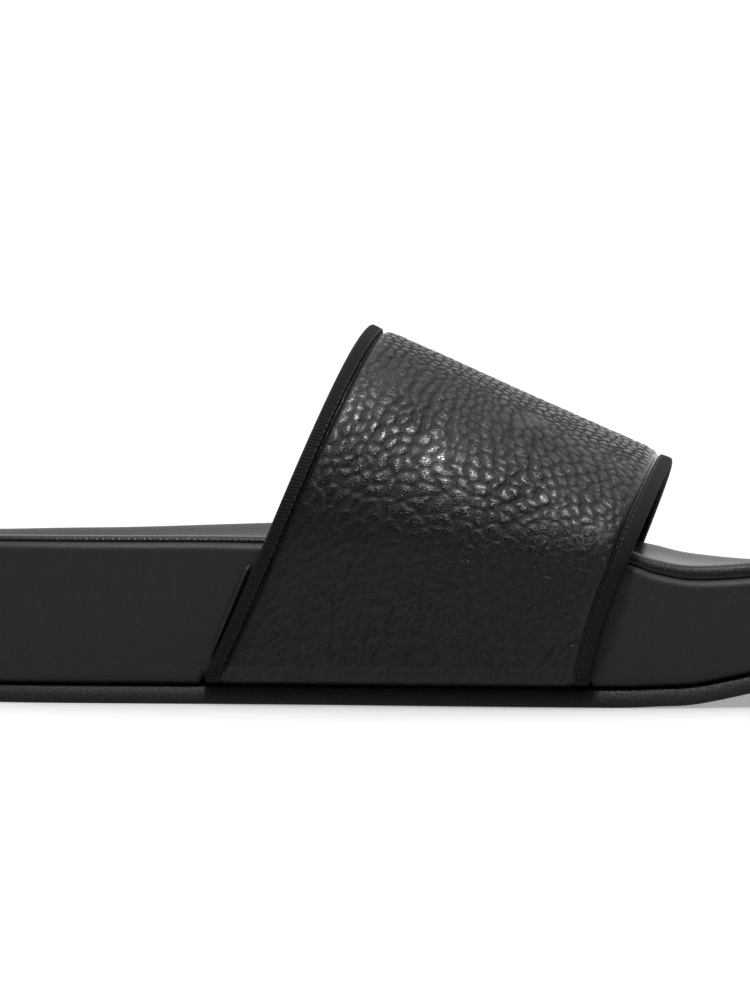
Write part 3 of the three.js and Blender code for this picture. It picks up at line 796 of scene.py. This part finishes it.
pitted = smoothstep(bent, 48, 66) * (0.6 + 0.6 * drift(along, outside, 6 * MM, 29))
hollow = (
    LOBE_DEPTH * (lobes[0] * drawn + 0.7 * lobes[1] * notched)
    + SCALE_DEPTH * (scales[0] + 0.8 * scales[1]) * scaled
    + PIT_DEPTH * np.exp(-((pits[2] / 0.24) ** 2)) * pitted
)
creases = crease_depth(along, outside)
relief = (0.15 * MM * patches + 0.25 * LOBE_DEPTH * drawn - hollow) * free - creases * band.full
strap_outside = band.point(outside, strap_faces(band, outside)[0] + relief)
strap_inside = band.point(inside, strap_faces(band, inside)[1] + LINING_THICKNESS + 0.05 * MM)
# 1 on the tops of the grain, falling to 0 in the cracks, creases and pits: it darkens the colour there as painted
# shade, and sets the rubbed gloss of the tops
wear_and_crack_shade = np.clip(1 - (hollow * free + np.maximum(creases, 0)) / (0.22 * MM), 0, 1)
place = np.concatenate([band.place(outside, wear_and_crack_shade), band.place(inside, 1), band.place(outside[:, :1], 1)], axis=1)
strap_bm = bent_grid(np.concatenate([strap_outside, strap_inside, strap_outside[:, :1]], axis=1), place=place)
close_ends(strap_bm)

# painted shade: the colour darkens in the cracks, creases and pits, where shade falls, and the tops of the grain
# are rubbed glossy
tumbled = new_material("tumbled_leather", grey(0.004), 0.36, Specular_IOR_Level=0.25)
tree = tumbled.node_tree
shader = tree.nodes["Principled BSDF"]
place = node(tree, "ShaderNodeAttribute", attribute_name="place")
split = node(tree, "ShaderNodeSeparateXYZ", {0: place.outputs["Vector"]})
stretch = node(tree, "ShaderNodeVectorMath", {0: place.outputs["Vector"]}, operation="MULTIPLY")
stretch.inputs[1].default_value = (1.0, 0.6, 0)
fine = tree.nodes.new("ShaderNodeGroup")
fine.node_tree = LEATHER_GRAIN
fine.inputs["Cells"].default_value = 1700
fine.inputs["Crumple"].default_value = 0.35
tree.links.new(stretch.outputs["Vector"], fine.inputs["Vector"])
bump = node(tree, "ShaderNodeBump", {"Height": fine.outputs["Height"]}, Strength=1, Distance=0.034 * MM)
tree.links.new(bump.outputs[0], shader.inputs["Normal"])
# painted shade in the cracks, creases and pits: the colour is darker where the grain lies low
tone = node(tree, "ShaderNodeMix", {"Factor": split.outputs["Z"]}, data_type="RGBA")
tone.inputs["A"].default_value = (*grey(0.001), 1)
tone.inputs["B"].default_value = (*grey(0.0058), 1)
tree.links.new(tone.outputs["Result"], shader.inputs["Base Color"])
gloss = node(tree, "ShaderNodeMapRange", {"Value": split.outputs["Z"]})
gloss.inputs["To Min"].default_value = 0.6
gloss.inputs["To Max"].default_value = 0.2
tree.links.new(gloss.outputs[0], shader.inputs["Roughness"])
strap = finished("strap_leather", strap_bm, tumbled)
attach(strap, "root")
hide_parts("strap")

# Lining: a thin smooth leather cemented to the padding on the strap's inner side, and held at its edges
# under the tapes.
LINING_ROWS = 40
lining_band = Band(strap_stations({"margin": 3 * MM, "corner": 1 * MM, "wall": 2 * MM, "arch": 2 * MM}))
lining_back = lining_band.width * np.linspace(0, 1, LINING_ROWS)[None]
lining_face = strap_faces(lining_band, lining_back)[1]
lining_near = lining_band.point(lining_back, lining_face)
lining_far = lining_band.point(lining_back, lining_face + LINING_THICKNESS)[:, ::-1]
lining_bm = bent_grid(np.concatenate([lining_near, lining_far, lining_near[:, :1]], axis=1))
close_ends(lining_bm)
lining_leather = new_material("lining_leather", grey(0.02), 0.55)
add_grain(
    lining_leather, object_vector(lining_leather), 1400, 0.5, 0.03 * MM, grey(0.016), grey(0.024), (0.65, 0.5)
)
lining = finished("strap_lining", lining_bm, lining_leather)
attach(lining, "root")

# Binding: a ribbed woven tape folded round each edge of the strap and stitched down through it, from
# the sole's edge on one side over the foot to the other.
RIB_PITCH = 0.75 * MM
RIB_HEIGHT = 0.035 * MM
NOSE = GAP + TAPE_THICKNESS
STITCH_LINE = TAPE_WIDTH - 0.55 * MM  # from the strap's edge
PUCKER = 0.2 * MM
BOUND_PARTS = {"corner": RIB_PITCH / 4, "wall": RIB_PITCH / 4, "arch": RIB_PITCH / 4}


def bound_stations(parts):
    """The stations that the tape covers: from the lower corner of one side to that of the other."""
    return [s for s in strap_stations(parts) if s[0] != "corner" or s[1] > 0.5]


def tape_outline():
    """The tape's section as distance from the strap's edge and distance outwards."""
    turn = np.linspace(-np.pi / 2, np.pi / 2, 13)
    nose = np.stack([-NOSE * np.cos(turn), TAPE_HALF * np.sin(turn)], axis=1)
    leg = np.array([[1, 0], [0.93, 0.8], [0.83, 1], [0.66, 1], [0.4, 1], [0.2, 1]])
    leg = leg[1:] * [TAPE_WIDTH, TAPE_HALF]
    inner = TAPE_HALF - TAPE_THICKNESS
    fold = [(TAPE_WIDTH, inner), (-GAP, inner), (-GAP, -inner), (TAPE_WIDTH, -inner)]
    start = leg * [1, -1]
    return np.concatenate([start, nose, leg[::-1], fold, start[:1]])


def tape(name, front):
    edge = Band(bound_stations(BOUND_PARTS))
    outline = tape_outline()
    from_edge = outline[:, 0][None]
    out = outline[:, 1][None]
    rib = 1 + RIB_HEIGHT / TAPE_HALF * np.sin(edge.along / RIB_PITCH * 2 * np.pi)
    pucker = PUCKER * np.exp(-(((from_edge - STITCH_LINE) / (0.5 * MM)) ** 2)) * (np.abs(out) > 0.9 * TAPE_HALF)
    out = out * rib - np.sign(out) * pucker
    from_edge = np.where(from_edge < 0, from_edge * rib, from_edge * np.ones_like(rib))
    back = edge.width - from_edge if front else from_edge
    depth = np.where(np.abs(outline[:, 1]) > TAPE_HALF - TAPE_THICKNESS, 1.0, 0.0)[None]
    bm = bent_grid(edge.point(back, out), place=edge.place(from_edge, depth))
    close_ends(bm)
    return finished(name, bm, weave)


weave = new_material("woven_tape", grey(0.003), 0.62, Specular_IOR_Level=0.12)
tree = weave.node_tree
place = node(tree, "ShaderNodeAttribute", attribute_name="place")
split = node(tree, "ShaderNodeSeparateXYZ", {0: place.outputs["Vector"]})
turns = node(tree, "ShaderNodeMath", {0: split.outputs["X"]}, operation="MULTIPLY")
turns.inputs[1].default_value = 2 * math.pi / RIB_PITCH
crest = node(tree, "ShaderNodeMath", {0: turns.outputs[0]}, operation="SINE")
threads = node(tree, "ShaderNodeMath", {0: split.outputs["Y"]}, operation="MULTIPLY")
threads.inputs[1].default_value = 2 * math.pi / (0.32 * MM)
ends = node(tree, "ShaderNodeMath", {0: threads.outputs[0]}, operation="SINE")
height = node(tree, "ShaderNodeMath", {0: crest.outputs[0], 1: ends.outputs[0]}, operation="ADD")
bump = node(tree, "ShaderNodeBump", {"Height": height.outputs[0]}, Strength=1, Distance=0.03 * MM)
tree.links.new(bump.outputs[0], tree.nodes["Principled BSDF"].inputs["Normal"])
# painted light and shade on the ribs: their crests are coloured lighter and the hollows between them darker
tone = node(tree, "ShaderNodeMapRange", {"Value": crest.outputs[0]})
tone.inputs["From Min"].default_value = -1
tone.inputs["To Min"].default_value = 0.6
painted_rib_light = node(tree, "ShaderNodeMix", {"Factor": tone.outputs[0]}, data_type="RGBA")
painted_rib_light.inputs["A"].default_value = (*grey(0.0015), 1)
painted_rib_light.inputs["B"].default_value = (*grey(0.0045), 1)
tree.links.new(painted_rib_light.outputs["Result"], tree.nodes["Principled BSDF"].inputs["Base Color"])
for name, front in (("binding_rear", False), ("binding_front", True)):
    binding = tape(name + "_tape", front)
    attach(binding, "root")
    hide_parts(name)

# Stitching: one row of short lockstitches along each tape, close to its free edge, in a fine dark
# thread. The row shows on the strap's outer side and on its lining.
STITCH_PITCH = 2.0 * MM
STITCH_LENGTH = 1.45 * MM
THREAD_RADIUS = 0.2 * MM


def stitch_row(name, front):
    """A joined mesh of small capsules, each laid along the tape and sunk a little into it."""
    line = Band(bound_stations({"corner": 0.5 * MM, "wall": 0.5 * MM, "arch": 0.5 * MM}))
    back = np.full(line.along.shape, STITCH_LINE)
    if front:
        back = line.width - back
    thread = bmesh.new()
    bmesh.ops.create_uvsphere(thread, u_segments=8, v_segments=6, radius=1)
    bmesh.ops.scale(thread, verts=thread.verts, vec=(THREAD_RADIUS, THREAD_RADIUS, STITCH_LENGTH / 2))
    pattern = bpy.data.meshes.new("stitch")
    thread.to_mesh(pattern)
    thread.free()
    bm = bmesh.new()
    for out in (TAPE_HALF - PUCKER, -TAPE_HALF + PUCKER):
        path = line.point(back, np.full(line.along.shape, out))[:, 0]
        length = np.concatenate([[0], np.cumsum(np.linalg.norm(np.diff(path, axis=0), axis=1))])
        for place in np.arange(STITCH_PITCH / 2, length[-1] - STITCH_PITCH / 2, STITCH_PITCH):
            start, end = (
                Vector([np.interp(place + k * STITCH_LENGTH / 2, length, path[:, i]) for i in range(3)])
                for k in (-1, 1)
            )
            stitch = pattern.copy()
            turn = (end - start).to_track_quat("Z", "Y").to_matrix().to_4x4()
            stitch.transform(Matrix.Translation((start + end) / 2) @ turn)
            bm.from_mesh(stitch)
            bpy.data.meshes.remove(stitch)
    return finished(name, bm, thread_finish)


thread_finish = new_material("stitch_thread", grey(0.006), 0.45, Specular_IOR_Level=0.3)
tree = thread_finish.node_tree
coordinates = tree.nodes.new("ShaderNodeTexCoord")
twist = node(tree, "ShaderNodeTexNoise", {"Vector": coordinates.outputs["Object"]}, Scale=3000, Detail=2)
shade = node(tree, "ShaderNodeMix", {"Factor": twist.outputs["Fac"]}, data_type="RGBA")
shade.inputs["A"].default_value = (*grey(0.003), 1)
shade.inputs["B"].default_value = (*grey(0.012), 1)
tree.links.new(shade.outputs["Result"], tree.nodes["Principled BSDF"].inputs["Base Color"])
for name, front in (("stitches_rear", False), ("stitches_front", True)):
    row = stitch_row(name, front)
    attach(row, "root")

# Welt: a narrow fold of the midsole's leather that stands behind the rear tape on each side and dies
# out into the wall at both ends.
WELT_TOP = 37 * MM
WELT_BOTTOM = 11.5 * MM
WELT_WIDTH = 1.9 * MM
WELT_HEIGHT = 3.0 * MM
WELT_GAP = 0.6 * MM  # behind the tape


def welt(side):
    """A rounded fin along the rear tape, tapered into the wall at both ends."""
    levels = np.linspace(0, 1, 60)
    foot = np.interp(levels, (0, 1), (WELT_BOTTOM, WELT_TOP))
    line = Band(bound_stations({"corner": 1 * MM, "wall": 0.5 * MM, "arch": 0.5 * MM}))
    edge = line.point(np.full(line.along.shape, -NOSE), np.zeros(line.along.shape))[:, 0]
    edge = edge[edge[:, 1] * side > 0]
    order = edge[:, 2].argsort()
    x = np.interp(foot, edge[order, 2], edge[order, 0]) - WELT_GAP - WELT_WIDTH / 2
    x += 0.9 * MM * (1 - levels) ** 3
    wall = wall_at(side, x, "half") - WALL_TAPER * levels
    rise = smoothstep(levels, 0, 0.4) ** 0.5 * (1 - 0.9 * smoothstep(levels, 0.95, 1.02))
    turn = np.linspace(0, np.pi, 9)[None]
    across = -np.cos(turn) * WELT_WIDTH / 2 * (0.35 + 0.65 * rise[:, None])
    out = (np.sin(turn) ** 0.5 * WELT_HEIGHT - 0.3 * MM) * rise[:, None] - 0.2 * MM
    points = np.stack(
        np.broadcast_arrays(x[:, None] + across, side * (wall[:, None] + out), foot[:, None]), axis=-1
    )
    bm = bent_grid(np.concatenate([points, points[:, :1]], axis=1))
    close_ends(bm)
    return bm


fold_leather = new_material("fold_leather", grey(0.009), 0.38, Specular_IOR_Level=0.3)
add_grain(fold_leather, object_vector(fold_leather), 1500, 0.6, 0.05 * MM, grey(0.006), grey(0.011), (0.5, 0.32))
for side, name in ((OUTER, "welt_outer"), (INNER, "welt_inner")):
    fold = finished(name, welt(side), fold_leather)
    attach(fold, "root")

# Studio: a pale floor under soft light, seen through a long lens a metre and a half away, level with
# the strap and a little towards the toe.
AIM = Vector((-17.4, 0, 52.5)) * MM
CAMERA_DISTANCE = 1.5
AZIMUTH = math.radians(2)
ELEVATION = math.radians(2)
FRAME_HEIGHT_MM = 36
LENS_MM = 199.8
towards_camera = Vector(
    (
        math.sin(AZIMUTH) * math.cos(ELEVATION),
        -math.cos(AZIMUTH) * math.cos(ELEVATION),
        math.sin(ELEVATION),
    )
)
camera_data = bpy.data.cameras.new("camera")
camera_data.sensor_fit = "VERTICAL"
camera_data.sensor_height = FRAME_HEIGHT_MM
camera_data.lens = LENS_MM
camera = bpy.data.objects.new("camera", camera_data)
camera.location = AIM + towards_camera * CAMERA_DISTANCE
camera.rotation_euler = towards_camera.to_track_quat("Z", "Y").to_euler()
bpy.context.scene.collection.objects.link(camera)
bpy.context.scene.camera = camera


def softbox(name, azimuth, elevation, distance, size, power):
    """An area light on a sphere round the sandal, turned towards it."""
    lamp = bpy.data.lights.new(name, "AREA")
    lamp.shape = "RECTANGLE"
    lamp.size, lamp.size_y = size
    lamp.energy = power
    light = bpy.data.objects.new(name, lamp)
    a, e = math.radians(azimuth), math.radians(elevation)
    away = Vector((math.sin(a) * math.cos(e), -math.cos(a) * math.cos(e), math.sin(e)))
    light.location = AIM + away * distance
    light.rotation_euler = away.to_track_quat("Z", "Y").to_euler()
    bpy.context.scene.collection.objects.link(light)
    return light


key = softbox("key", 7, 70, 1.6, (0.3, 0.14), 29)

overhead = bpy.data.lights.new("overhead", "SUN")
overhead.energy = 2.1
overhead.angle = math.radians(100)
overhead_light = bpy.data.objects.new("overhead", overhead)
overhead_light.rotation_euler = (math.radians(-8), 0, 0)
bpy.context.scene.collection.objects.link(overhead_light)

# the room is white behind the sandal and darker on the camera's side
BEHIND = 1.35
BEFORE = 0.05
world = bpy.data.worlds.new("studio")
world.use_nodes = True
bpy.context.scene.world = world
sky = world.node_tree
backdrop = sky.nodes["Background"]
backdrop.inputs["Color"].default_value = (1, 1, 1, 1)
way = sky.nodes.new("ShaderNodeTexCoord")
parts = node(sky, "ShaderNodeSeparateXYZ", {0: way.outputs["Generated"]})
room = node(sky, "ShaderNodeMapRange", {"Value": parts.outputs["Y"]}, interpolation_type="SMOOTHSTEP")
room.inputs["From Min"].default_value = -0.5
room.inputs["From Max"].default_value = 0.9
room.inputs["To Min"].default_value = BEFORE
room.inputs["To Max"].default_value = BEHIND
# and brightest low down, near the backdrop
low_down = node(sky, "ShaderNodeMapRange", {"Value": parts.outputs["Z"]}, interpolation_type="SMOOTHSTEP")
low_down.inputs["From Min"].default_value = 0.3
low_down.inputs["From Max"].default_value = 0.7
low_down.inputs["To Min"].default_value = 1.0
low_down.inputs["To Max"].default_value = 0.05
glow = node(sky, "ShaderNodeMath", {0: room.outputs[0], 1: low_down.outputs[0]}, operation="MULTIPLY")
seen = sky.nodes.new("ShaderNodeLightPath")
strength = node(sky, "ShaderNodeMath", {0: glow.outputs[0], 1: seen.outputs["Is Camera Ray"]}, operation="MAXIMUM")
sky.links.new(strength.outputs[0], backdrop.inputs["Strength"])
bpy.context.scene.view_settings.view_transform = "Standard"

floor_bm = bmesh.new()
bmesh.ops.create_circle(floor_bm, cap_ends=True, radius=80, segments=64)
pale = new_material("pale_floor", (0.9, 0.9, 0.9), 0.9, Specular_IOR_Level=0.0, Emission_Strength=0.35)
pale.node_tree.nodes["Principled BSDF"].inputs["Emission Color"].default_value = (1, 1, 1, 1)
floor = finished("floor", floor_bm, pale)

# the key light is flagged off the floor, which stays evenly white
lit_by_key = bpy.data.collections.new("lit_by_key")
lit_by_key.objects.link(floor)
key.light_linking.receiver_collection = lit_by_key
lit_by_key.collection_objects[0].light_linking.link_state = "EXCLUDE"
